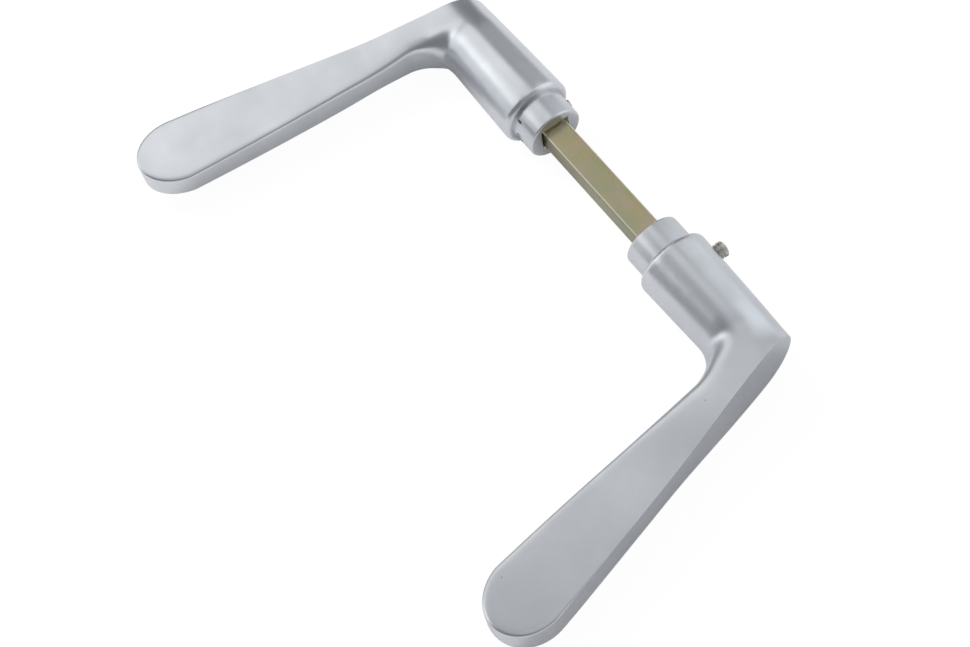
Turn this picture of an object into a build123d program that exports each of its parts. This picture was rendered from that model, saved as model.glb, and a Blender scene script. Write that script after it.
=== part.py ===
"""A pair of door levers on one square spindle.

The spindle lies along Y with the middle of the door at the origin and +Z up. The lever pinned to
the spindle is on the +Y side, the lever clamped by a grub screw is on the -Y side, and both blades
point to -X. All sizes are in millimetres.
"""
from build123d import *

import os
from math import cos, radians, sin, tan

os.makedirs("parts", exist_ok=True)

# Spindle, and how deep it sits in each lever
spindle_side = 8.0
spindle_edge = 0.35
spindle_in_fixed = 30.0
spindle_in_loose = 26.0
spindle_play = 0.2
door_gap = 46.0

# Spigot and neck of each lever
spigot_diameter = 18.0
spigot_length = 9.0
spigot_edge = 0.6
neck_diameter = 23.0
neck_end_width = 20.4
neck_edge = 1.6
mouth_chamfer = 0.8
fixed_bore_depth = 31.0
loose_bore_depth = 38.0

# Blade of each lever: lengths from the spindle axis, the reach from the spigot's end face,
# the thickness at the outer face, from which the top and bottom draw in towards the door
outer_face_reach = 52.8
outer_face_lean = 14.6
blade_root_width = 6.5
inner_face_lean = 5.4
inner_face_bow = 1.0
blade_length = 105.0
blade_thickness = 12.4
blade_root_step = 0.4
blade_taper_length = 36.0
blade_draft = 6.0
soft_edge = 2.0
crisp_edge = 0.4
elbow_radius = 8.5

# Radii of the tip's corners, as shares of the width of the blade's end
tip_inner_share = 0.53
tip_outer_share = 0.365

# Stock left on the outer side of the blade before its flat face is cut
tip_stock = 0.4
root_stock = 6.0

# Cross pin through the fixed spigot and the spindle
pin_diameter = 3.0
pin_proud = 0.6
pin_edge = 0.3
pin_from_shoulder = 3.2
pin_play = 0.05

# Grub screw in the loose neck, backed out as far as it stands proud
screw_diameter = 5.0
screw_length = 7.0
screw_from_shoulder = 6.6
screw_proud = 3.2
screw_play = 0.2
screw_slot_width = 0.9
screw_slot_depth = 1.2
screw_edge = 0.4

# Places along the spindle, counted outwards from the middle of the door
spigot_face = door_gap / 2
shoulder = spigot_face + spigot_length
outer_face = spigot_face + outer_face_reach
inner_face = outer_face - blade_root_width
neck_radius = neck_diameter / 2
neck_run_out = outer_face + root_stock + neck_diameter
pin_place = shoulder - pin_from_shoulder
screw_place = shoulder + screw_from_shoulder

# The flat outer face of the lever on the -Y side, leaning away from the door
lean = radians(outer_face_lean)
outer_plane = Plane(
    origin=(0, -outer_face, 0),
    x_dir=(-cos(lean), -sin(lean), 0),
    z_dir=(sin(lean), -cos(lean), 0),
)


def neck_width_at(distance: float) -> float:
    """Give the width of the neck across X.

    Args:
        distance: How far from the middle of the door the neck is measured.

    Returns:
        The width, which falls in a straight line from the shoulder to the outer face.
    """
    share = (distance - shoulder) / (outer_face - shoulder)
    return neck_diameter + (neck_end_width - neck_diameter) * share


def lever_blade() -> Part:
    """Make the blade of the lever on the -Y side, with stock left on its outer side.

    Returns:
        The blade as one solid that starts on the spindle axis, inside the neck.
    """
    inner_tip = inner_face + blade_length * tan(radians(inner_face_lean))
    outer_tip = outer_face + blade_length * tan(lean) + tip_stock
    end_width = outer_tip - inner_tip
    root_top = (0, neck_radius - blade_root_step)
    taper_top = (blade_taper_length, blade_thickness / 2)
    end_top = (blade_length / cos(lean) + neck_diameter, blade_thickness / 2)
    side_plane = Plane(origin=outer_plane.origin, x_dir=outer_plane.x_dir, z_dir=-outer_plane.z_dir)
    draft = radians(blade_draft)
    slope = side_plane.z_dir * cos(draft) - Vector(0, 0, sin(draft))

    with BuildPart() as under_top:
        with BuildSketch(side_plane):
            with BuildLine():
                Spline(root_top, taper_top, tangents=[(1, 0), (1, 0)])
                Polyline(
                    taper_top,
                    end_top,
                    (end_top[0], -neck_diameter),
                    (-neck_radius, -neck_diameter),
                    (-neck_radius, root_top[1]),
                    root_top,
                )
            make_face()
        extrude(amount=2 * neck_diameter, dir=slope, both=True)

    with BuildPart() as blade:
        with BuildSketch() as plan:
            with BuildLine():
                ThreePointArc(
                    (0, -inner_face),
                    (-blade_length / 2, -(inner_face + inner_tip) / 2 + inner_face_bow),
                    (-blade_length, -inner_tip),
                )
                Polyline(
                    (-blade_length, -inner_tip),
                    (-blade_length, -outer_tip),
                    (0, -outer_face - root_stock),
                    (0, -inner_face),
                )
            make_face()
            end = plan.vertices().group_by(Axis.X)[0].sort_by(Axis.Y)
            fillet(end[-1], tip_inner_share * end_width)
            end = plan.vertices().group_by(Axis.X)[0].sort_by(Axis.Y)
            fillet(end[0], tip_outer_share * end_width)
        extrude(amount=neck_diameter, both=True)
        add(under_top.part, mode=Mode.INTERSECT)
        add(mirror(under_top.part, about=Plane.XY, mode=Mode.PRIVATE), mode=Mode.INTERSECT)
        root = blade.faces().sort_by(Axis.X)[-1]
        walls = blade.faces().filter_by(lambda face: abs(face.normal_at().Z) < 0.5)
        rim = [edge for wall in walls if wall != root for edge in wall.edges()]
        rim = ShapeList(rim).filter_by(Axis.Z, reverse=True)
        fillet([edge for edge in rim if edge.center().X < -1], soft_edge)
    return blade.part


def lever_casting() -> Part:
    """Make the solid casting of the lever on the -Y side, before its holes are cut.

    Returns:
        The spigot, the neck and the blade as one solid.
    """
    blade = lever_blade()
    with BuildPart() as casting:
        with BuildSketch(Plane.XZ.offset(shoulder)):
            Circle(neck_radius)
        with BuildSketch(Plane.XZ.offset(neck_run_out)):
            Ellipse(neck_width_at(neck_run_out) / 2, neck_radius)
        loft()
        add(blade)
        fillet(casting.edges(Select.NEW), elbow_radius)
        split(bisect_by=outer_plane, keep=Keep.BOTTOM)
        flat = casting.faces().sort_by(Axis(outer_plane.origin, outer_plane.z_dir))[-1]
        chamfer(flat.edges(), crisp_edge)
        rim = casting.edges().sort_by(Axis.Y)[-1]
        fillet(rim, neck_edge)
        with BuildSketch(Plane.XZ.offset(spigot_face)):
            Circle(spigot_diameter / 2)
        extrude(amount=spigot_length + neck_edge)
        fillet(casting.edges().sort_by(Axis.Y)[-1], spigot_edge)
    return casting.part


def bored(depth: float) -> Part:
    """Make the square tool that cuts a lever's spindle hole from the -Y side's spigot face.

    Args:
        depth: How deep the hole goes from the spigot's end face.

    Returns:
        The tool, with the chamfer of the hole's mouth.
    """
    hole_side = spindle_side + 2 * spindle_play
    mouth_side = hole_side + 2 * mouth_chamfer
    with BuildPart() as tool:
        with BuildSketch(Plane.XZ.offset(spigot_face)):
            Rectangle(hole_side, hole_side)
        extrude(amount=depth)
        with BuildSketch(Plane.XZ.offset(spigot_face)):
            Rectangle(mouth_side, mouth_side)
        with BuildSketch(Plane.XZ.offset(spigot_face + mouth_chamfer)):
            Rectangle(hole_side, hole_side)
        loft()
    return tool.part


casting = lever_casting()

# Lever on the -Y side, with the tapped hole for its grub screw
with BuildPart() as lever_loose:
    add(casting)
    add(bored(loose_bore_depth), mode=Mode.SUBTRACT)
    with BuildSketch(Plane.YZ):
        with Locations((-screw_place, 0)):
            Circle(screw_diameter / 2 + screw_play)
    extrude(amount=neck_diameter, mode=Mode.SUBTRACT)
lever_loose.part.label = "lever_loose"
export_step(lever_loose.part, "parts/lever_loose.step")

# Lever on the +Y side, the same casting turned over and drilled for its cross pin
with BuildPart() as lever_fixed:
    add(casting)
    add(bored(fixed_bore_depth), mode=Mode.SUBTRACT)
    mirror(about=Plane.XZ, mode=Mode.REPLACE)
    with BuildSketch(Plane.YZ):
        with Locations((pin_place, 0)):
            Circle(pin_diameter / 2 + pin_play)
    extrude(amount=neck_diameter, both=True, mode=Mode.SUBTRACT)
lever_fixed.part.label = "lever_fixed"
export_step(lever_fixed.part, "parts/lever_fixed.step")

# Square spindle, from inside the fixed lever to inside the loose one
with BuildPart() as spindle:
    with BuildSketch(Plane.XZ.offset(-spigot_face - spindle_in_fixed)):
        Rectangle(spindle_side, spindle_side)
    extrude(amount=spindle_in_fixed + door_gap + spindle_in_loose)
    chamfer(spindle.edges(), spindle_edge)
    with BuildSketch(Plane.YZ):
        with Locations((pin_place, 0)):
            Circle(pin_diameter / 2 + pin_play)
    extrude(amount=spindle_side, both=True, mode=Mode.SUBTRACT)
spindle.part.label = "spindle"
export_step(spindle.part, "parts/spindle.step")

# Pin across the fixed spigot, standing a little proud at both ends
with BuildPart() as cross_pin:
    with BuildSketch(Plane.YZ):
        with Locations((pin_place, 0)):
            Circle(pin_diameter / 2)
    extrude(amount=spigot_diameter / 2 + pin_proud, both=True)
    chamfer(cross_pin.edges().group_by(Axis.X)[0], pin_edge)
    chamfer(cross_pin.edges().group_by(Axis.X)[-1], pin_edge)
cross_pin.part.label = "cross_pin"
export_step(cross_pin.part, "parts/cross_pin.step")

# Grub screw with a screwdriver slot, lying along X in the loose neck
screw_end = neck_width_at(screw_place) / 2 + screw_proud
with BuildPart() as grub_screw:
    with BuildSketch(Plane.YZ.offset(screw_end - screw_length)):
        with Locations((-screw_place, 0)):
            Circle(screw_diameter / 2)
    extrude(amount=screw_length)
    chamfer(grub_screw.edges().group_by(Axis.X)[0], screw_edge)
    chamfer(grub_screw.edges().group_by(Axis.X)[-1], screw_edge)
    with BuildSketch(Plane.YZ.offset(screw_end - screw_slot_depth)):
        with Locations((-screw_place, 0)):
            Rectangle(screw_diameter, screw_slot_width)
    extrude(amount=screw_slot_depth, mode=Mode.SUBTRACT)
grub_screw.part.label = "grub_screw"
export_step(grub_screw.part, "parts/grub_screw.step")
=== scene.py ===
"""Dresses a pair of door levers on a square spindle and sets them in a plain studio."""
import logging
import math
from collections.abc import Callable
from dataclasses import dataclass
from enum import Enum

import bmesh
import bpy
from mathutils import Matrix, Vector


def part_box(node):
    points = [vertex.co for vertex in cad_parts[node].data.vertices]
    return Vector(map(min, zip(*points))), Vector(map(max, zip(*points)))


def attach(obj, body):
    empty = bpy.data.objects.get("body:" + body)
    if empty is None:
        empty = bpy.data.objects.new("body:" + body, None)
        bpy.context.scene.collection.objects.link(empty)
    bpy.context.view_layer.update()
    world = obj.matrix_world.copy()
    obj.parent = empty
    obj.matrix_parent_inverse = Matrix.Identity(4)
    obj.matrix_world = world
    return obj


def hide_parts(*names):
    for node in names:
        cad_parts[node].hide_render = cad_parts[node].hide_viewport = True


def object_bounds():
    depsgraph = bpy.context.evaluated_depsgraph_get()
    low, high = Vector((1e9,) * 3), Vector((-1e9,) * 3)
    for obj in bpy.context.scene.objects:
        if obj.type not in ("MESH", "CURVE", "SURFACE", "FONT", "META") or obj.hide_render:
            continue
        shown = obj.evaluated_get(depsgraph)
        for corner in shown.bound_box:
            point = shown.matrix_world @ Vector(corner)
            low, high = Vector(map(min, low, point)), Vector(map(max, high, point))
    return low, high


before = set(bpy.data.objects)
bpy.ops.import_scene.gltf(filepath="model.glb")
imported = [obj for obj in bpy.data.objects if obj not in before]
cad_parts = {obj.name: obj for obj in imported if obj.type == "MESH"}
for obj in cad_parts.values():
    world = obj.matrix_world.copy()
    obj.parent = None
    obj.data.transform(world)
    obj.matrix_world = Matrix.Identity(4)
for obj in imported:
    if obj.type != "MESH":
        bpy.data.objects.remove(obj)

CAD_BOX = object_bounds()
LOG = logging.getLogger("door_levers")
MILLIMETRE = 0.001
MERGE_DISTANCE = 1e-7
CREASE_ANGLE = math.radians(32.0)
FLAT_FACE_CORNERS = 40
WHITE = (1.0, 1.0, 1.0, 1.0)
Colour = tuple[float, float, float, float]
Span = tuple[float, float]
Feed = bpy.types.NodeSocket | float | Colour


class GrainLay(Enum):
    """How the fine marks of a metal surface lie, as a stretch along X, Y and Z."""

    BLASTED = (1.0, 1.0, 1.0)
    DRAWN = (1.0, 0.035, 1.0)
    TURNED = (0.12, 1.0, 1.0)


class Body(Enum):
    """The rigid bodies of the part that pieces ride on."""

    SPINDLE_LEVER = "spindle_lever"
    LOOSE_LEVER = "loose_lever"
    CLAMP_SCREW = "clamp_screw"


class DoorSide(Enum):
    """The side of the door that a lever is on, as the factor on Y that makes the -Y lever into it."""

    NEAR = 1.0
    FAR = -1.0


class NodeBoard:
    """Adds nodes to one node tree and joins their sockets."""

    # Places of the colour sockets on the Mix node, whose names repeat
    mix_share, mix_first, mix_second, mix_result = 0, 6, 7, 2

    def __init__(self, tree: bpy.types.NodeTree) -> None:
        """Keep the tree that nodes are added to."""
        self.tree = tree

    def join(self, source: bpy.types.NodeSocket, target: bpy.types.NodeSocket) -> None:
        """Link one socket to another."""
        self.tree.links.new(source, target)

    def feed(self, target: bpy.types.NodeSocket, value: Feed) -> None:
        """Give a socket its value, or link the socket that feeds it.

        Args:
            target: The input socket.
            value: The value or the feeding socket.
        """
        if isinstance(value, bpy.types.NodeSocket):
            self.join(value, target)
        else:
            target.default_value = value

    def add(self, kind: str, inputs: dict[str | int, Feed] | None = None,
            **settings: object) -> bpy.types.Node:
        """Add one node.

        Args:
            kind: The node's type name.
            inputs: Input names or places, with a value or with the socket that feeds them.
            settings: Properties of the node itself.

        Returns:
            The new node.
        """
        node = self.tree.nodes.new(kind)
        for name, value in settings.items():
            setattr(node, name, value)
        for name, value in (inputs or {}).items():
            self.feed(node.inputs[name], value)
        return node

    def group(self, effect: bpy.types.NodeTree, inputs: dict[str | int, Feed]) -> bpy.types.Node:
        """Add a shared effect with this material's own values."""
        return self.add("ShaderNodeGroup", inputs, node_tree=effect)

    def math(self, operation: str, first: Feed, second: Feed = 0.0) -> bpy.types.NodeSocket:
        """Add a Math node and give the socket with its result."""
        return self.add("ShaderNodeMath", {0: first, 1: second}, operation=operation).outputs[0]

    def spread(self, value: bpy.types.NodeSocket, result: Span,
               over: Span = (0.0, 1.0)) -> bpy.types.NodeSocket:
        """Map a value from one range to another, held at both ends.

        Args:
            value: The socket to map.
            result: The results at the range's start and end.
            over: The values where the range starts and ends.

        Returns:
            The socket with the mapped value.
        """
        node = self.add("ShaderNodeMapRange", {
            "Value": value, "From Min": over[0], "From Max": over[1],
            "To Min": result[0], "To Max": result[1]})
        return node.outputs["Result"]

    def blend(self, share: Feed, first: Feed, second: Feed) -> bpy.types.NodeSocket:
        """Mix two colours.

        Args:
            share: How much of the second colour is used.
            first: The first colour or socket.
            second: The second colour or socket.

        Returns:
            The socket with the mixed colour.
        """
        node = self.add("ShaderNodeMix", data_type="RGBA")
        self.feed(node.inputs[self.mix_share], share)
        self.feed(node.inputs[self.mix_first], first)
        self.feed(node.inputs[self.mix_second], second)
        return node.outputs[self.mix_result]


@dataclass
class SurfaceEffects:
    """The shader node groups that the finishes use, each built once."""

    fine_detail: float = 3.0
    fine_roughness: float = 0.6
    cloud_detail: float = 4.0
    cloud_roughness: float = 0.55
    cloud_span: Span = (0.3, 0.7)
    pit_core: float = 0.55
    blush_shift: float = 3.7
    blush_detail: float = 2.5
    blush_roughness: float = 0.5
    blush_distortion: float = 0.6
    blush_span: Span = (0.42, 0.68)

    def __post_init__(self) -> None:
        """Build every group."""
        self.grain = self._grain()
        self.pits = self._pits()
        self.blush = self._blush()

    @staticmethod
    def _group(name: str, inputs: dict[str, str], outputs: tuple[str, ...]) -> tuple[
            bpy.types.NodeTree, NodeBoard, bpy.types.Node, bpy.types.Node]:
        """Make an empty group.

        Args:
            name: The group's name.
            inputs: Input names with their socket types.
            outputs: The names of the values that it puts out.

        Returns:
            The group, its board, its input node and its output node.
        """
        group = bpy.data.node_groups.new(name, "ShaderNodeTree")
        for label, kind in inputs.items():
            group.interface.new_socket(name=label, in_out="INPUT", socket_type=kind)
        for label in outputs:
            group.interface.new_socket(name=label, in_out="OUTPUT", socket_type="NodeSocketFloat")
        board = NodeBoard(group)
        return group, board, board.add("NodeGroupInput"), board.add("NodeGroupOutput")

    def _grain(self) -> bpy.types.NodeTree:
        """Build the fine grain of a metal surface, with the soft clouds that lie under it.

        Returns:
            The group.
        """
        group, board, given, result = self._group(
            "metal_grain",
            {"Stretch": "NodeSocketVector", "Grain Scale": "NodeSocketFloat",
             "Cloud Scale": "NodeSocketFloat"},
            ("Height", "Cloud"))
        place = board.add("ShaderNodeTexCoord").outputs["Object"]
        laid = board.add("ShaderNodeMapping", {"Vector": place, "Scale": given.outputs["Stretch"]})
        fine = board.add("ShaderNodeTexNoise", {
            "Vector": laid.outputs[0], "Scale": given.outputs["Grain Scale"],
            "Detail": self.fine_detail, "Roughness": self.fine_roughness})
        cloud = board.add("ShaderNodeTexNoise", {
            "Vector": laid.outputs[0], "Scale": given.outputs["Cloud Scale"],
            "Detail": self.cloud_detail, "Roughness": self.cloud_roughness})
        board.join(fine.outputs[0], result.inputs["Height"])
        board.join(board.spread(cloud.outputs[0], (0.0, 1.0), self.cloud_span), result.inputs["Cloud"])
        return group

    def _pits(self) -> bpy.types.NodeTree:
        """Build the mask of the few small pits in a cast or plated surface.

        Returns:
            The group.
        """
        group, board, given, result = self._group(
            "sparse_pits",
            {"Spacing Scale": "NodeSocketFloat", "Size": "NodeSocketFloat", "Rarity": "NodeSocketFloat"},
            ("Mask",))
        place = board.add("ShaderNodeTexCoord").outputs["Object"]
        cells = board.add("ShaderNodeTexVoronoi", {"Vector": place, "Scale": given.outputs["Spacing Scale"]})
        chance = board.add("ShaderNodeSeparateColor", {0: cells.outputs["Color"]}).outputs[0]
        chosen = board.math("GREATER_THAN", chance, given.outputs["Rarity"])
        reach = board.math("DIVIDE", cells.outputs["Distance"], given.outputs["Size"])
        spot = board.spread(reach, (1.0, 0.0), (self.pit_core, 1.0))
        board.join(board.math("MULTIPLY", spot, chosen), result.inputs["Mask"])
        return group

    def _blush(self) -> bpy.types.NodeTree:
        """Build the drifting warm and cool patches of a passivated plating.

        Returns:
            The group.
        """
        group, board, given, result = self._group(
            "plating_blush", {"Patch Scale": "NodeSocketFloat"}, ("Warm", "Cool"))
        place = board.add("ShaderNodeTexCoord").outputs["Object"]
        for label, shift in (("Warm", 0.0), ("Cool", self.blush_shift)):
            moved = board.add("ShaderNodeMapping", {"Vector": place, "Location": (shift, shift, shift)})
            drift = board.add("ShaderNodeTexNoise", {
                "Vector": moved.outputs[0], "Scale": given.outputs["Patch Scale"],
                "Detail": self.blush_detail, "Roughness": self.blush_roughness,
                "Distortion": self.blush_distortion})
            board.join(board.spread(drift.outputs[0], (0.0, 1.0), self.blush_span), result.inputs[label])
        return group


class Dresser:
    """Starts each finish's material, with the effects that the finishes share."""

    def __init__(self, effects: SurfaceEffects) -> None:
        """Keep the shared node groups."""
        self.effects = effects

    @staticmethod
    def start(name: str) -> tuple[bpy.types.Material, NodeBoard, bpy.types.Node]:
        """Make a material with a metal shader.

        Args:
            name: The material's name.

        Returns:
            The material, its board and its Principled node.
        """
        material = bpy.data.materials.new(name)
        material.use_nodes = True
        shader = material.node_tree.nodes["Principled BSDF"]
        shader.inputs["Metallic"].default_value = 1.0
        return material, NodeBoard(material.node_tree), shader

    @staticmethod
    def texture(board: NodeBoard, shader: bpy.types.Node, grain: bpy.types.Node,
                roughness: Span, bump: tuple[float, float]) -> None:
        """Let a grain's clouds vary the roughness and its height stir the surface.

        Args:
            board: The material's board.
            shader: The material's Principled node.
            grain: The grain's node.
            roughness: The roughness outside the clouds and within them.
            bump: The strength of the bumps and their height in metres.
        """
        board.join(board.spread(grain.outputs["Cloud"], roughness), shader.inputs["Roughness"])
        stirred = board.add("ShaderNodeBump", {
            "Strength": bump[0], "Distance": bump[1], "Height": grain.outputs["Height"]})
        board.join(stirred.outputs[0], shader.inputs["Normal"])


@dataclass(frozen=True)
class SatinAluminium:
    """The levers' finish: cast aluminium, blasted and clear anodised. Lengths are in metres."""

    base: Colour = (0.70, 0.715, 0.735, 1.0)
    shade: Colour = (0.62, 0.64, 0.67, 1.0)
    roughness: Span = (0.27, 0.34)
    bump: tuple[float, float] = (0.035, 0.0002)
    grain_scale: float = 2400.0
    cloud_scale: float = 55.0
    pit: Colour = (0.42, 0.43, 0.45, 1.0)
    pit_spacing: float = 95.0
    pit_size: float = 0.03
    pit_rarity: float = 0.80
    # Painted shade: the near-black colour of the nick, which has no dent in the mesh
    painted_nick_shade: Colour = (0.08, 0.085, 0.09, 1.0)
    nick_spot: tuple[float, float, float] = (-0.0074, 0.0304, 0.0052)
    nick_reach: tuple[float, float, float] = (0.0006, 0.0011, 0.0006)
    nick_core: float = 0.6

    def material(self, dresser: Dresser) -> bpy.types.Material:
        """Build the material.

        Args:
            dresser: What starts the material.

        Returns:
            The material.
        """
        material, board, shader = dresser.start("satin_aluminium")
        grain = board.group(dresser.effects.grain, {
            "Stretch": GrainLay.BLASTED.value, "Grain Scale": self.grain_scale,
            "Cloud Scale": self.cloud_scale})
        pits = board.group(dresser.effects.pits, {
            "Spacing Scale": self.pit_spacing, "Size": self.pit_size, "Rarity": self.pit_rarity})
        tone = board.blend(grain.outputs["Cloud"], self.base, self.shade)
        marked = board.blend(pits.outputs["Mask"], tone, self.pit)
        # Painted shade in place of the nick's dent
        nick_shaded = board.blend(self.nick_shade_mask(board), marked, self.painted_nick_shade)
        board.join(nick_shaded, shader.inputs["Base Color"])
        dresser.texture(board, shader, grain, self.roughness, self.bump)
        return material

    def nick_shade_mask(self, board: NodeBoard) -> bpy.types.NodeSocket:
        """Build the mask of the painted shade that stands for the small nick on the fixed lever's spigot,
        beside its shoulder.

        Args:
            board: The material's board.

        Returns:
            The socket with the mask.
        """
        place = board.add("ShaderNodeTexCoord").outputs["Object"]
        away = board.add("ShaderNodeVectorMath", {0: place, 1: self.nick_spot}, operation="SUBTRACT")
        scaled = board.add(
            "ShaderNodeVectorMath", {0: away.outputs[0], 1: self.nick_reach}, operation="DIVIDE")
        reach = board.add("ShaderNodeVectorMath", {0: scaled.outputs[0]}, operation="LENGTH")
        return board.spread(reach.outputs["Value"], (1.0, 0.0), (self.nick_core, 1.0))


@dataclass(frozen=True)
class YellowZinc:
    """The spindle's finish: drawn steel with a yellow passivated zinc plate. Lengths are in metres."""

    olive: Colour = (0.43, 0.43, 0.27, 1.0)
    gold: Colour = (0.52, 0.44, 0.24, 1.0)
    rose: Colour = (0.57, 0.43, 0.34, 1.0)
    rose_share: float = 0.7
    patch_scale: float = 85.0
    roughness: Span = (0.24, 0.40)
    bump: tuple[float, float] = (0.12, 0.0002)
    grain_scale: float = 2200.0
    cloud_scale: float = 420.0
    # Painted shade: the dark olive laid on the spindle's two side faces, standing in for the dark reflection
    # they show
    side: Colour = (0.27, 0.26, 0.15, 1.0)
    painted_shade_share: float = 0.85
    painted_shade_depths: Span = (0.0000875, 0.000035)
    # Painted highlight: the near-white cream laid along the spindle's edges, broken up by the clouds
    painted_edge_highlight: Colour = (0.96, 0.92, 0.76, 1.0)
    edge_highlight_shares: Span = (0.5, 1.0)
    edge_highlight_depths: Span = (0.00035, 0.00028)

    def material(self, dresser: Dresser, half_side: float) -> bpy.types.Material:
        """Build the material.

        Args:
            dresser: What starts the material.
            half_side: Half the side of the square spindle.

        Returns:
            The material.
        """
        material, board, shader = dresser.start("yellow_zinc")
        grain = board.group(dresser.effects.grain, {
            "Stretch": GrainLay.DRAWN.value, "Grain Scale": self.grain_scale,
            "Cloud Scale": self.cloud_scale})
        blush = board.group(dresser.effects.blush, {"Patch Scale": self.patch_scale})
        warm = board.blend(blush.outputs["Warm"], self.olive, self.gold)
        rosy = board.math("MULTIPLY", blush.outputs["Cool"], self.rose_share)
        plated = board.blend(rosy, warm, self.rose)
        side, edge = self.face_masks(board, half_side)
        # Painted shade: the two side faces are darkened towards the side colour
        side_shaded = board.blend(board.math("MULTIPLY", side, self.painted_shade_share), plated, self.side)
        # Painted highlight: the edges are lifted towards near-white cream where the clouds allow
        highlighted_edge = board.math("MULTIPLY", edge, board.spread(grain.outputs["Cloud"], self.edge_highlight_shares))
        board.join(board.blend(highlighted_edge, side_shaded, self.painted_edge_highlight), shader.inputs["Base Color"])
        dresser.texture(board, shader, grain, self.roughness, self.bump)
        return material

    def face_masks(self, board: NodeBoard, half_side: float) -> tuple[
            bpy.types.NodeSocket, bpy.types.NodeSocket]:
        """Build the masks of the painted shade on the spindle's two side faces and of the painted highlight
        along its edges.

        Args:
            board: The material's board.
            half_side: Half the side of the square spindle.

        Returns:
            The sockets with the painted shade's mask and with the painted highlight's mask.
        """
        place = board.add("ShaderNodeTexCoord").outputs["Object"]
        split = board.add("ShaderNodeSeparateXYZ", {0: place})
        across = board.math("ABSOLUTE", split.outputs["X"])
        rise = board.math("ABSOLUTE", split.outputs["Z"])
        nearest = board.math("MINIMUM", across, rise)
        # Where the painted shade of the side faces and the painted highlight of the edges fade in
        painted_shade_span = (half_side - self.painted_shade_depths[0], half_side - self.painted_shade_depths[1])
        edge_highlight_span = (half_side - self.edge_highlight_depths[0], half_side - self.edge_highlight_depths[1])
        return board.spread(across, (0.0, 1.0), painted_shade_span), board.spread(nearest, (0.0, 1.0), edge_highlight_span)


@dataclass(frozen=True)
class DullSteel:
    """The finish of the grub screw and the cross pin: plain steel, more or less dulled by oil."""

    name: str = "dull_steel"
    bright: Colour = (0.78, 0.77, 0.73, 1.0)
    stained: Colour = (0.46, 0.45, 0.40, 1.0)
    roughness: Span = (0.28, 0.46)
    bump: tuple[float, float] = (0.15, 0.0001)
    grain_scale: float = 2600.0
    cloud_scale: float = 700.0
    pit_spacing: float = 900.0
    pit_size: float = 0.3
    pit_rarity: float = 0.6
    pit_share: float = 0.6

    def material(self, dresser: Dresser) -> bpy.types.Material:
        """Build the material.

        Args:
            dresser: What starts the material.

        Returns:
            The material.
        """
        material, board, shader = dresser.start(self.name)
        grain = board.group(dresser.effects.grain, {
            "Stretch": GrainLay.TURNED.value, "Grain Scale": self.grain_scale,
            "Cloud Scale": self.cloud_scale})
        pits = board.group(dresser.effects.pits, {
            "Spacing Scale": self.pit_spacing, "Size": self.pit_size, "Rarity": self.pit_rarity})
        tone = board.blend(grain.outputs["Cloud"], self.bright, self.stained)
        spots = board.math("MULTIPLY", pits.outputs["Mask"], self.pit_share)
        board.join(board.blend(spots, tone, self.stained), shader.inputs["Base Color"])
        dresser.texture(board, shader, grain, self.roughness, self.bump)
        return material


def smooth_shade(shape: bmesh.types.BMesh) -> None:
    """Shade a mesh smoothly, with sharp creases and with every large flat face set off.

    Args:
        shape: The mesh to shade.
    """
    for face in shape.faces:
        face.smooth = True
    for edge in shape.edges:
        flat = any(len(face.verts) > FLAT_FACE_CORNERS for face in edge.link_faces)
        edge.smooth = not flat and edge.calc_face_angle(0.0) < CREASE_ANGLE


def lay_grid(shape: bmesh.types.BMesh, rows: int, places: int, point: Callable[[int, int], Vector]) -> None:
    """Lay a grid, at first one unit wide, over a curved surface.

    Args:
        shape: The mesh that takes the grid.
        rows: How many rows of faces the grid has.
        places: How many faces each row has.
        point: What gives the place of the corner in a row, counted from 0.
    """
    grid = bmesh.ops.create_grid(shape, x_segments=rows, y_segments=places, size=0.5)
    for vert in grid["verts"]:
        vert.co = point(round((vert.co.x + 0.5) * rows), round((vert.co.y + 0.5) * places))


def join_cut(shape: bmesh.types.BMesh, node: str, spot: Vector, away: Vector, closed: bool) -> None:
    """Add the part of a solid's mesh on one side of a plane.

    Args:
        shape: The mesh that takes it.
        node: The solid's node.
        spot: A point of the plane.
        away: The direction from the plane to the side that is left out.
        closed: Whether the cut is closed with a face.
    """
    solid = bmesh.new()
    solid.from_mesh(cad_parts[node].data)
    bmesh.ops.remove_doubles(solid, verts=solid.verts, dist=MERGE_DISTANCE)
    cut = bmesh.ops.bisect_plane(
        solid, geom=solid.verts[:] + solid.edges[:] + solid.faces[:], dist=MERGE_DISTANCE,
        plane_co=spot, plane_no=away, clear_outer=True)
    if closed:
        rim = [item for item in cut["geom_cut"] if isinstance(item, bmesh.types.BMEdge)]
        bmesh.ops.holes_fill(solid, edges=rim, sides=0)
    kept = bpy.data.meshes.new(node + "_kept")
    solid.to_mesh(kept)
    solid.free()
    shape.from_mesh(kept)
    bpy.data.meshes.remove(kept)


def place_piece(shape: bmesh.types.BMesh, node: str, body: Body,
                material: bpy.types.Material) -> None:
    """Turn a finished mesh into the piece that stands for a solid.

    Args:
        shape: The finished mesh, which is freed.
        node: The solid's node.
        body: The body that the piece rides on.
        material: The piece's finish.
    """
    smooth_shade(shape)
    mesh = bpy.data.meshes.new(node + "_skin")
    shape.to_mesh(mesh)
    shape.free()
    mesh.materials.append(material)
    piece = bpy.data.objects.new(node + "_skin", mesh)
    bpy.context.scene.collection.objects.link(piece)
    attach(piece, body.value)
    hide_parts(node)
    LOG.info("built %s with %d faces", piece.name, len(mesh.polygons))


@dataclass(frozen=True)
class Rise:
    """A smooth rise from 0 to 1 between two values."""

    start: float
    end: float

    def at(self, value: float) -> float:
        """Give the height of the rise at a value."""
        share = min(max((value - self.start) / (self.end - self.start), 0.0), 1.0)
        return share * share * (3.0 - 2.0 * share)


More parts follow.
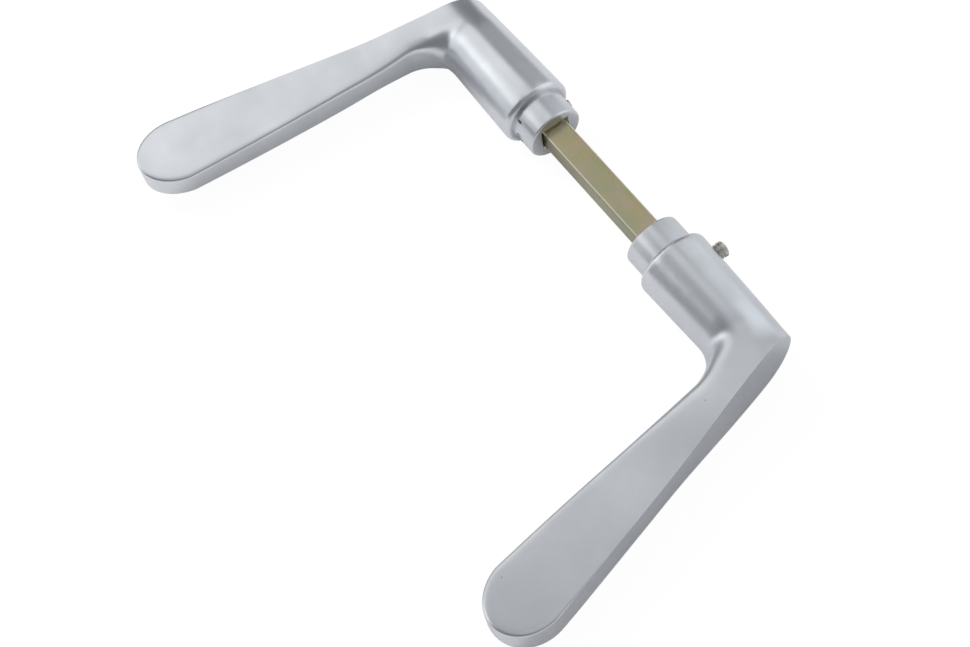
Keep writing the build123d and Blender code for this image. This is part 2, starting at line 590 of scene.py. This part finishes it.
@dataclass(frozen=True)
class Section:
    """One closed cross-section of a lever, in an upright plane. Lengths are in millimetres."""

    middle: Vector
    inward: Vector
    inner_reach: float
    outer_reach: float
    half_height: float
    squareness: float
    outer_squareness: float
    draft: float = 0.0
    face_depth: float = 0.0
    face_limit: float = -12.0

    def point(self, turn: float) -> Vector:
        """Give one point of the section's outline.

        Args:
            turn: The angle round the section, from the side that faces the fingers over the top.

        Returns:
            The point, on a superellipse whose two sides may reach to different widths.
        """
        across, rise = math.cos(turn), math.sin(turn)
        reach = self.inner_reach if across > 0.0 else self.outer_reach
        power = 2.0 / (self.squareness if across > 0.0 else self.outer_squareness)
        aside = math.copysign(reach * abs(across) ** power, across)
        up = math.copysign(self.half_height * abs(rise) ** power, rise)
        drawn_in = self.draft * max(aside + self.face_depth, self.face_limit) / self.half_height
        return self.middle + self.inward * aside + Vector((0.0, 0.0, up * (1.0 - drawn_in)))


@dataclass
class LeverSkin:
    """The smooth skin of one lever's elbow and blade, joined to the turned end of its solid.

    All lengths are in millimetres, for the lever on the -Y side. The other lever is its mirror image.
    A run is a length along the outer face, counted from the spindle's axis towards the tip.
    """

    node: str
    body: Body
    side: DoorSide

    # Places along the spindle, from the middle of the door
    shoulder: float = 32.0
    seam: float = 50.0
    inner_face: float = 69.3
    outer_face: float = 75.8

    # Half the neck's width at the shoulder and at the outer face
    neck_radius: float = 11.5
    neck_end_radius: float = 10.2

    # Outline of the blade from above
    lean: float = math.radians(14.6)
    inner_slope: float = math.tan(math.radians(5.4))
    inner_bow: float = 1.0
    length: float = 105.0
    tip_place: float = 92.4
    tip_reach: float = 13.7

    # Half the blade's thickness at the outer face, and how fast it thins towards the door
    root_height: float = 11.5
    tip_height: float = 6.2
    taper: Rise = Rise(-12.0, 48.0)
    root_draft: float = 0.18
    draft: float = 0.105
    draft_change: Rise = Rise(14.0, 44.0)

    # Elbow: its inner radius, the run that its sections stand for, how they change through it, and
    # the turns up to which they follow the neck's side, past which they meet the outer face, and
    # past which they take up the stock
    elbow_radius: float = 12.0
    elbow_span: float = 22.0
    elbow_change: Rise = Rise(0.0, 1.0)
    elbow_height: Rise = Rise(0.0, 0.7)
    elbow_draft: Rise = Rise(0.0, 0.85)
    neck_turn: float = 0.62
    face_turn: float = 0.3
    stock_turn: float = 0.45
    least_slant: float = 0.5

    # How square the sections are, from round at the neck to crisp at the tip: inner_change is
    # counted from the elbow's run
    round_power: float = 2.0
    inner_gain: float = 8.0
    inner_change: Rise = Rise(-17.0, 5.0)
    inner_tip_gain: float = 6.0
    outer_gain: float = 7.0
    outer_change: Rise = Rise(1.0, 32.0)
    outer_tip_gain: float = 7.0
    tip_change: Rise = Rise(24.0, 80.0)
    ridge_change: Rise = Rise(12.0, 46.0)

    # Stock past the outer face, which is then cut flat, and the face's edge
    root_stock: float = 9.0
    stock_change: Rise = Rise(30.0, 64.0)
    tip_stock: float = 1.6
    tip_stock_run: float = 50.0
    least_stock: float = 0.02
    crisp_edge: float = 0.45

    # How finely the skin is divided and how closely it is worked out
    ring: int = 96
    neck_rows: int = 6
    elbow_rows: int = 40
    blade_rows: int = 56
    blade_crowding: float = 1.5
    tip_rows: int = 28
    rounds: int = 12
    slope_step: float = 0.5
    tolerance: float = 1e-4
    face_tolerance: float = 1e-3
    rim_merge: float = 0.15

    def __post_init__(self) -> None:
        """Work out the outer face's directions and the elbow's centre."""
        self.along = Vector((-math.cos(self.lean), -math.sin(self.lean), 0.0))
        self.inward = Vector((-math.sin(self.lean), math.cos(self.lean), 0.0))
        self.face_spot = Vector((0.0, -self.outer_face, 0.0))
        beside = self.neck_reach(self.inner_face - self.elbow_radius) + self.elbow_radius
        ahead = self.inner_edge(beside + self.slope_step)
        behind = self.inner_edge(beside - self.slope_step)
        slope = math.atan((ahead - behind) / (2.0 * self.slope_step))
        centre = self.inner_edge(beside) - self.elbow_radius / math.cos(slope)
        self.elbow = Vector((-beside, -centre, 0.0))
        self.elbow_run = (self.elbow - self.face_spot).dot(self.along)

    def neck_reach(self, distance: float) -> float:
        """Give half the neck's width at a distance from the middle of the door."""
        share = (distance - self.shoulder) / (self.outer_face - self.shoulder)
        return self.neck_radius + (self.neck_end_radius - self.neck_radius) * share

    def neck_side(self, turn: float) -> float:
        """Find the neck's outer side.

        Args:
            turn: The angle of the line from the elbow's centre that meets it, from +X outwards.

        Returns:
            How far it is from the elbow's centre along that line.
        """
        found = -self.elbow.x
        for _ in range(self.rounds):
            reach = self.neck_reach(found * math.sin(turn) - self.elbow.y)
            found = (reach - self.elbow.x) / math.cos(turn)
        return found

    def inner_edge(self, reach: float) -> float:
        """Give how far the blade's inner face is from the middle of the door, at a reach along -X."""
        share = reach / self.length
        return self.inner_face + reach * self.inner_slope - self.inner_bow * 4.0 * share * (1.0 - share)

    def width(self, run: float) -> float:
        """Find the blade's width square to its outer face.

        Args:
            run: Where it is measured.

        Returns:
            The width, which follows the elbow's arc where that arc still turns.
        """
        found = self.outer_face - self.inner_face
        for _ in range(self.rounds):
            reach = run * math.cos(self.lean) + found * math.sin(self.lean)
            across = self.outer_face + run * math.sin(self.lean) - self.inner_edge(reach)
            found = across / math.cos(self.lean)
        past = run - self.elbow_run
        if abs(past) < self.elbow_radius * math.sin(self.lean):
            depth = (self.elbow - self.face_spot).dot(self.inward)
            found = max(found, depth - math.sqrt(self.elbow_radius ** 2 - past ** 2))
        return found

    def height(self, run: float) -> float:
        """Give half the blade's thickness at its outer face."""
        return self.root_height + (self.tip_height - self.root_height) * self.taper.at(run)

    def draft_at(self, run: float) -> float:
        """Give how fast the blade thins away from its outer face."""
        return self.draft + (self.root_draft - self.draft) * (1.0 - self.draft_change.at(run))

    def ridge_depth(self, run: float) -> float:
        """Give how far inside the outer face a section's highest line lies."""
        return self.width(max(run, self.elbow_run)) / 2 * self.ridge_change.at(run)

    def inner_squareness(self, run: float) -> float:
        """Give how square a section's inner side is, which changes round the elbow."""
        gained = self.inner_gain * self.inner_change.at(run - self.elbow_run)
        return self.round_power + gained + self.inner_tip_gain * self.tip_change.at(run)

    def outer_squareness(self, run: float) -> float:
        """Give how square a section's outer side is, which keeps the outer face's end round."""
        gained = self.outer_gain * self.outer_change.at(run)
        return self.round_power + gained + self.outer_tip_gain * self.tip_change.at(run)

    def neck_sections(self) -> list[Section]:
        """Shape the neck from the seam to the elbow.

        Returns:
            Its round sections.
        """
        found = []
        for row in range(self.neck_rows):
            distance = self.seam + (-self.elbow.y - self.seam) * row / self.neck_rows
            reach = self.neck_reach(distance)
            found.append(Section(
                Vector((0, -distance, 0)), Vector((-1, 0, 0)), reach, reach, self.neck_radius,
                self.round_power, self.round_power))
        return found

    def elbow_sections(self) -> list[Section]:
        """Shape the elbow.

        Returns:
            The sections that fan out round its centre, from the neck's to the blade's.
        """
        end_turn = math.pi / 2 - self.lean
        depth = (self.elbow - self.face_spot).dot(self.inward)
        first = -self.elbow.x
        first_near = first - self.neck_reach(-self.elbow.y)
        stock_change = Rise(self.stock_turn, end_turn)
        found = []
        for row in range(self.elbow_rows):
            share = row / self.elbow_rows
            turn = end_turn * share
            run = self.elbow_run - self.elbow_span * (1.0 - share)
            out = Vector((math.cos(turn), -math.sin(turn), 0.0))
            slant = -out.dot(self.inward)
            changed = self.elbow_change.at(share)
            middle = first + (depth - first) * changed - self.ridge_depth(run)
            near = first_near + (self.elbow_radius - first_near) * changed
            side = self.neck_side(min(turn, self.neck_turn))
            past = depth / slant + self.root_stock if turn > self.face_turn else side
            far = side + (past - side) * stock_change.at(turn)
            thinned = (self.height(run) - self.neck_radius) * self.elbow_height.at(share)
            found.append(Section(
                self.elbow + out * middle, -out, middle - near, far - middle,
                self.neck_radius + thinned, self.inner_squareness(run), self.outer_squareness(run),
                self.draft_at(run) * self.elbow_draft.at(share),
                depth / max(slant, self.least_slant) - middle))
        return found

    def blade_section(self, run: float) -> Section:
        """Shape the blade at one place.

        Args:
            run: Where the section lies.

        Returns:
            The section.
        """
        depth = self.ridge_depth(run)
        stock = self.root_stock * (1.0 - self.stock_change.at(run))
        stock += self.tip_stock * min((self.tip_place - run) / self.tip_stock_run, 1.0)
        return Section(
            self.face_spot + self.along * run + self.inward * depth, self.inward,
            self.width(run) - depth, depth + max(stock, self.least_stock), self.height(run),
            self.inner_squareness(run), self.outer_squareness(run), self.draft_at(run), depth)

    def blade_sections(self) -> list[Section]:
        """Shape the blade from the elbow to where the tip's rounding starts.

        Returns:
            Its sections, which lie closer together at the elbow.
        """
        length = self.tip_place - self.elbow_run
        shares = [(row / self.blade_rows) ** self.blade_crowding for row in range(self.blade_rows + 1)]
        return [self.blade_section(self.elbow_run + length * share) for share in shares]

    def ring_turn(self, place: int) -> float:
        """Give the angle of a place round a section."""
        return math.tau * (place % self.ring) / self.ring

    def tip_point(self, base: Section, row: int, place: int) -> Vector:
        """Give one point of the blade's end, where half sections fan out round the last one's middle.

        Args:
            base: The last section of the blade.
            row: The half section, from the last section's inner half round to its outer half.
            place: The place along the half section, from the top down.

        Returns:
            The point, with the blade's draft.
        """
        half, quarter = self.ring // 2, self.ring // 4
        if row == 0 or place in (0, half):
            return base.point(self.ring_turn(quarter - place))
        if row == self.tip_rows:
            return base.point(self.ring_turn(quarter + place))
        turn = math.pi * row / self.tip_rows
        out = self.inward * math.cos(turn) + self.along * math.sin(turn)
        side = base.inner_reach if turn < math.pi / 2 else base.outer_reach
        reach = 1.0 / math.hypot(math.cos(turn) / side, math.sin(turn) / self.tip_reach)
        square = base.squareness + (base.outer_squareness - base.squareness) * row / self.tip_rows
        part = Section(base.middle, out, reach, reach, base.half_height, square, square)
        spot = part.point(math.pi / 2 - math.pi * place / half)
        depth = (spot - self.face_spot).dot(self.inward)
        spot.z *= 1.0 - self.draft * depth / self.tip_height
        return spot

    def face_edges(self, shape: bmesh.types.BMesh) -> list[bmesh.types.BMEdge]:
        """Give the open edges that lie in the plane of the outer face."""
        return [edge for edge in shape.edges if edge.is_boundary and all(
            abs((vert.co - self.face_spot).dot(self.inward)) < self.face_tolerance for vert in edge.verts)]

    def skin(self, shape: bmesh.types.BMesh) -> None:
        """Make the skin, cut flat along the outer face.

        Args:
            shape: The mesh that takes the skin.
        """
        sections = self.neck_sections() + self.elbow_sections() + self.blade_sections()
        lay_grid(
            shape, len(sections) - 1, self.ring,
            lambda row, place: sections[row].point(self.ring_turn(place)))
        lay_grid(
            shape, self.tip_rows, self.ring // 2,
            lambda row, place: self.tip_point(sections[-1], row, place))
        bmesh.ops.remove_doubles(shape, verts=shape.verts, dist=self.tolerance)
        bmesh.ops.recalc_face_normals(shape, faces=shape.faces)
        bmesh.ops.bisect_plane(
            shape, geom=shape.verts[:] + shape.edges[:] + shape.faces[:], dist=self.tolerance,
            plane_co=self.face_spot, plane_no=-self.inward, clear_outer=True)
        rim = {vert for edge in self.face_edges(shape) for vert in edge.verts}
        bmesh.ops.remove_doubles(shape, verts=list(rim), dist=self.rim_merge)
        face = bmesh.ops.contextual_create(shape, geom=self.face_edges(shape))["faces"][0]
        bmesh.ops.bevel(
            shape, geom=face.edges[:], offset=self.crisp_edge, offset_type="OFFSET", affect="EDGES",
            segments=1, profile=0.5, material=-1, clamp_overlap=True)

    def build(self, material: bpy.types.Material) -> None:
        """Make the lever's skin, join it to the turned end of the solid and put it on its body.

        Args:
            material: The lever's finish.
        """
        shape = bmesh.new()
        self.skin(shape)
        scale = Vector((1.0, self.side.value, 1.0)) * MILLIMETRE
        bmesh.ops.scale(shape, vec=scale, verts=shape.verts)
        if self.side is DoorSide.FAR:
            bmesh.ops.reverse_faces(shape, faces=shape.faces)
        outwards = Vector((0.0, -self.side.value, 0.0))
        join_cut(shape, self.node, outwards * self.seam * MILLIMETRE, outwards, False)
        place_piece(shape, self.node, self.body, material)


@dataclass
class Spindle:
    """The square spindle."""

    node: str = "spindle"
    finish: YellowZinc = YellowZinc()

    def dress(self, dresser: Dresser) -> None:
        """Put the finish on the spindle's solid.

        Args:
            dresser: What starts the material.
        """
        low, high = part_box(self.node)
        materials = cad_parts[self.node].data.materials
        materials.clear()
        materials.append(self.finish.material(dresser, (high.x - low.x) / 2))
        LOG.info("dressed %s", self.node)


@dataclass
class CrossPin:
    """The pin that holds the spindle in the fixed lever: proud at one end, sunk at the other.

    All lengths are in metres.
    """

    node: str = "cross_pin"
    sunk: float = 0.0008
    rounding: float = 0.0003
    rounding_steps: int = 3
    sides: int = 40
    finish: DullSteel = DullSteel(
        name="drawn_pin_steel", bright=(0.60, 0.60, 0.59, 1.0), stained=(0.42, 0.42, 0.41, 1.0))

    def build(self, dresser: Dresser) -> None:
        """Make the pin and put it on its body.

        Args:
            dresser: What starts the material.
        """
        low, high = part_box(self.node)
        low.x += self.sunk
        radius = (high.z - low.z) / 2
        shape = bmesh.new()
        bmesh.ops.create_cone(
            shape, cap_ends=True, segments=self.sides, radius1=radius, radius2=radius, depth=high.x - low.x,
            matrix=Matrix.Translation((low + high) / 2) @ Matrix.Rotation(math.pi / 2, 4, "Y"))
        ends = [face for face in shape.faces if len(face.verts) == self.sides]
        rims = [edge for face in ends for edge in face.edges]
        bmesh.ops.bevel(
            shape, geom=rims, offset=self.rounding, offset_type="OFFSET", affect="EDGES",
            segments=self.rounding_steps, profile=0.5, material=-1, clamp_overlap=True)
        place_piece(shape, self.node, Body.SPINDLE_LEVER, self.finish.material(dresser))


@dataclass
class GrubScrew:
    """The grub screw: the slotted end of its solid on a threaded shank. All lengths are in metres."""

    node: str = "grub_screw"
    slotted: float = 0.0013
    pitch: float = 0.0008
    thread_depth: float = 0.0004
    lead: float = 0.0006
    sides: int = 48
    rings: int = 72
    finish: DullSteel = DullSteel()

    def radius(self, depth: float, turn: float, length: float, crest: float) -> float:
        """Give the shank's radius.

        Args:
            depth: How far down the shank it is measured.
            turn: The angle round the shank.
            length: The shank's length.
            crest: The radius of the thread's crests.

        Returns:
            The radius on the thread, tapered where the shank ends.
        """
        wave = abs(2.0 * ((depth / self.pitch + turn / math.tau) % 1.0) - 1.0)
        taper = max(self.lead - (length - depth), 0.0)
        return min(crest - self.thread_depth * wave, crest - taper)

    def build(self, dresser: Dresser) -> None:
        """Make the screw and put it on its body.

        Args:
            dresser: What starts the material.
        """
        low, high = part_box(self.node)
        middle, crest = (low + high) / 2, (high.z - low.z) / 2
        start = high.x - self.slotted
        length = start - low.x

        def shank_point(row: int, place: int) -> Vector:
            """Give the point of the shank in a row, counted from the slotted end."""
            depth, turn = length * row / self.rings, math.tau * place / self.sides
            reach = self.radius(depth, turn, length, crest)
            round_axis = Vector((0.0, math.cos(turn), math.sin(turn))) * reach
            return Vector((start - depth, middle.y, middle.z)) + round_axis

        shape = bmesh.new()
        lay_grid(shape, self.rings, self.sides, shank_point)
        bmesh.ops.remove_doubles(shape, verts=shape.verts, dist=MERGE_DISTANCE)
        bmesh.ops.holes_fill(shape, edges=[edge for edge in shape.edges if edge.is_boundary], sides=0)
        bmesh.ops.recalc_face_normals(shape, faces=shape.faces)
        join_cut(shape, self.node, Vector((start, 0.0, 0.0)), Vector((-1.0, 0.0, 0.0)), True)
        place_piece(shape, self.node, Body.CLAMP_SCREW, self.finish.material(dresser))


@dataclass(frozen=True)
class SoftBox:
    """One flat soft lamp. Lengths are in metres, its power is in watts."""

    name: str
    place: tuple[float, float, float]
    target: tuple[float, float, float]
    width: float
    depth: float
    power: float
    mirrored: bool

    def hang(self) -> None:
        """Hang the lamp so that it faces its target."""
        lamp = bpy.data.lights.new(self.name, "AREA")
        lamp.shape = "RECTANGLE"
        lamp.size, lamp.size_y = self.width, self.depth
        lamp.energy = self.power
        box = bpy.data.objects.new(self.name, lamp)
        box.location = self.place
        box.visible_glossy = self.mirrored
        aim = Vector(self.target) - Vector(self.place)
        box.rotation_euler = aim.to_track_quat("-Z", "Y").to_euler()
        bpy.context.scene.collection.objects.link(box)
        LOG.info("hung %s", self.name)


@dataclass
class Studio:
    """The floor, the soft lights, the white surround and the camera.

    Lengths are in metres and angles in degrees. Each span of the room is a range of the reflected
    direction: its X for left and right, its Y for the back, its Z for overhead.
    """

    boxes: tuple[SoftBox, ...] = (
        SoftBox("back_softbox", place=(-0.20, 0.66, 0.70), target=(-0.045, 0.0, 0.0),
                width=0.40, depth=0.40, power=4.5, mirrored=False),
        SoftBox("back_panel", place=(-0.24, 0.395, 0.40), target=(-0.24, 0.395, 0.0),
                width=0.72, depth=0.41, power=0.62, mirrored=True),
        SoftBox("right_panel", place=(0.10, 0.095, 0.40), target=(0.10, 0.095, 0.0),
                width=0.30, depth=0.19, power=0.050, mirrored=True))
    floor_size: float = 6.0
    floor_colour: Colour = (0.82, 0.82, 0.83, 1.0)
    floor_white: float = 1.05
    floor_white_share: float = 0.9
    glow_colour: Colour = (0.97, 0.98, 1.0, 1.0)
    glow_strength: float = 0.62
    room_colour: Colour = (0.94, 0.97, 1.0, 1.0)
    room_base: float = 0.38
    room_overhead: float = 0.25
    room_panel: float = 0.75
    room_dim: float = 0.14
    back_span: Span = (0.39, 0.47)
    overhead_span: Span = (0.88, 0.98)
    left_panel_span: Span = (-0.6, -0.3)
    right_panel_span: Span = (0.35, 0.6)
    left_dim_span: Span = (-0.5, -0.2)
    right_dim_span: Span = (0.2, 0.5)
    camera_azimuth: float = -23.893
    camera_elevation: float = 63.28
    camera_roll: float = -13.594
    camera_distance: float = 0.6
    camera_offset: tuple[float, float] = (-0.034608, -0.040585)
    camera_clip: float = 0.01
    focal_pixels: float = 2040.996
    image_width: int = 970
    sensor_width: float = 36.0

    def build(self) -> None:
        """Make the whole studio."""
        self._floor()
        self._world()
        for box in self.boxes:
            box.hang()
        self._camera()
        bpy.context.scene.view_settings.view_transform = "Standard"

    def _floor(self) -> None:
        """Lay the floor under the lowest point of the part, near white to the camera."""
        shape = bmesh.new()
        bmesh.ops.create_grid(shape, x_segments=1, y_segments=1, size=self.floor_size / 2)
        bmesh.ops.translate(shape, verts=shape.verts, vec=(0, 0, CAD_BOX[0].z))
        mesh = bpy.data.meshes.new("floor")
        shape.to_mesh(mesh)
        shape.free()
        floor = bpy.data.objects.new("floor", mesh)
        bpy.context.scene.collection.objects.link(floor)
        material = bpy.data.materials.new("pale_floor")
        material.use_nodes = True
        material.node_tree.nodes.clear()
        board = NodeBoard(material.node_tree)
        path = board.add("ShaderNodeLightPath")
        lit = board.add("ShaderNodeBsdfDiffuse", {"Color": self.floor_colour})
        white = board.add("ShaderNodeEmission", {"Color": WHITE, "Strength": self.floor_white})
        seen = board.math("MULTIPLY", path.outputs["Is Camera Ray"], self.floor_white_share)
        mixed = board.add("ShaderNodeMixShader", {0: seen, 1: lit.outputs[0], 2: white.outputs[0]})
        board.add("ShaderNodeOutputMaterial", {"Surface": mixed.outputs[0]})
        mesh.materials.append(material)
        LOG.info("laid the floor")

    def _world(self) -> None:
        """Surround the part: white to the camera, a soft room in reflections, an even glow elsewhere."""
        world = bpy.data.worlds.new("studio_surround")
        bpy.context.scene.world = world
        world.use_nodes = True
        world.node_tree.nodes.clear()
        board = NodeBoard(world.node_tree)
        path = board.add("ShaderNodeLightPath")
        glow = board.add("ShaderNodeBackground", {"Color": self.glow_colour, "Strength": self.glow_strength})
        room = board.add("ShaderNodeBackground", {"Color": self.room_colour, "Strength": self._room(board)})
        white = board.add("ShaderNodeBackground", {"Color": WHITE, "Strength": 1.0})
        mirrored = board.add("ShaderNodeMixShader", {
            0: path.outputs["Is Glossy Ray"], 1: glow.outputs[0], 2: room.outputs[0]})
        mixed = board.add("ShaderNodeMixShader", {
            0: path.outputs["Is Camera Ray"], 1: mirrored.outputs[0], 2: white.outputs[0]})
        board.add("ShaderNodeOutputWorld", {"Surface": mixed.outputs[0]})

    def _room(self, board: NodeBoard) -> bpy.types.NodeSocket:
        """Build the brightness of the room that the metal reflects.

        Args:
            board: The world's board.

        Returns:
            The brightness: pale at the back on the left and in front on the right, dim across from both.
        """
        way = board.add("ShaderNodeTexCoord").outputs["Generated"]
        split = board.add("ShaderNodeSeparateXYZ", {0: way})
        across, along, rise = split.outputs["X"], split.outputs["Y"], split.outputs["Z"]
        back = board.spread(along, (0.0, 1.0), self.back_span)
        front = board.math("SUBTRACT", 1.0, back)
        bright = board.spread(rise, (self.room_base, self.room_base + self.room_overhead), self.overhead_span)
        for part, result, span in (
                (back, (self.room_panel, 0.0), self.left_panel_span),
                (front, (0.0, self.room_panel), self.right_panel_span),
                (front, (-self.room_dim, 0.0), self.left_dim_span),
                (back, (0.0, -self.room_dim), self.right_dim_span)):
            wall = board.math("MULTIPLY", board.spread(across, result, span), part)
            bright = board.math("ADD", bright, wall)
        return bright

    def _camera(self) -> None:
        """Set the camera to the photograph's view."""
        azimuth, elevation = math.radians(self.camera_azimuth), math.radians(self.camera_elevation)
        back = Vector((
            math.sin(azimuth) * math.cos(elevation), -math.cos(azimuth) * math.cos(elevation),
            math.sin(elevation)))
        level = Vector((math.cos(azimuth), math.sin(azimuth), 0.0))
        right = Matrix.Rotation(math.radians(self.camera_roll), 3, back) @ level
        up = back.cross(right)
        spot = right * self.camera_offset[0] + up * self.camera_offset[1] + back * self.camera_distance
        camera = bpy.data.cameras.new("photo_camera")
        camera.sensor_fit = "HORIZONTAL"
        camera.sensor_width = self.sensor_width
        camera.lens = self.focal_pixels * self.sensor_width / self.image_width
        camera.clip_start = self.camera_clip
        holder = bpy.data.objects.new("photo_camera", camera)
        holder.matrix_world = Matrix.Translation(spot) @ Matrix((right, up, back)).transposed().to_4x4()
        bpy.context.scene.collection.objects.link(holder)
        bpy.context.scene.camera = holder


def main() -> None:
    """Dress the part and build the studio."""
    logging.basicConfig(level=logging.INFO)
    dresser = Dresser(SurfaceEffects())
    satin = SatinAluminium().material(dresser)
    LeverSkin(
        "lever_loose", Body.LOOSE_LEVER, DoorSide.NEAR, inner_face=68.1,
        taper=Rise(0.0, 48.0)).build(satin)
    LeverSkin(
        "lever_fixed", Body.SPINDLE_LEVER, DoorSide.FAR, inner_face=70.5, elbow_radius=10.5,
        taper=Rise(-16.0, 34.0)).build(satin)
    Spindle().dress(dresser)
    CrossPin().build(dresser)
    GrubScrew().build(dresser)
    Studio().build()


if __name__ == "__main__":
    main()
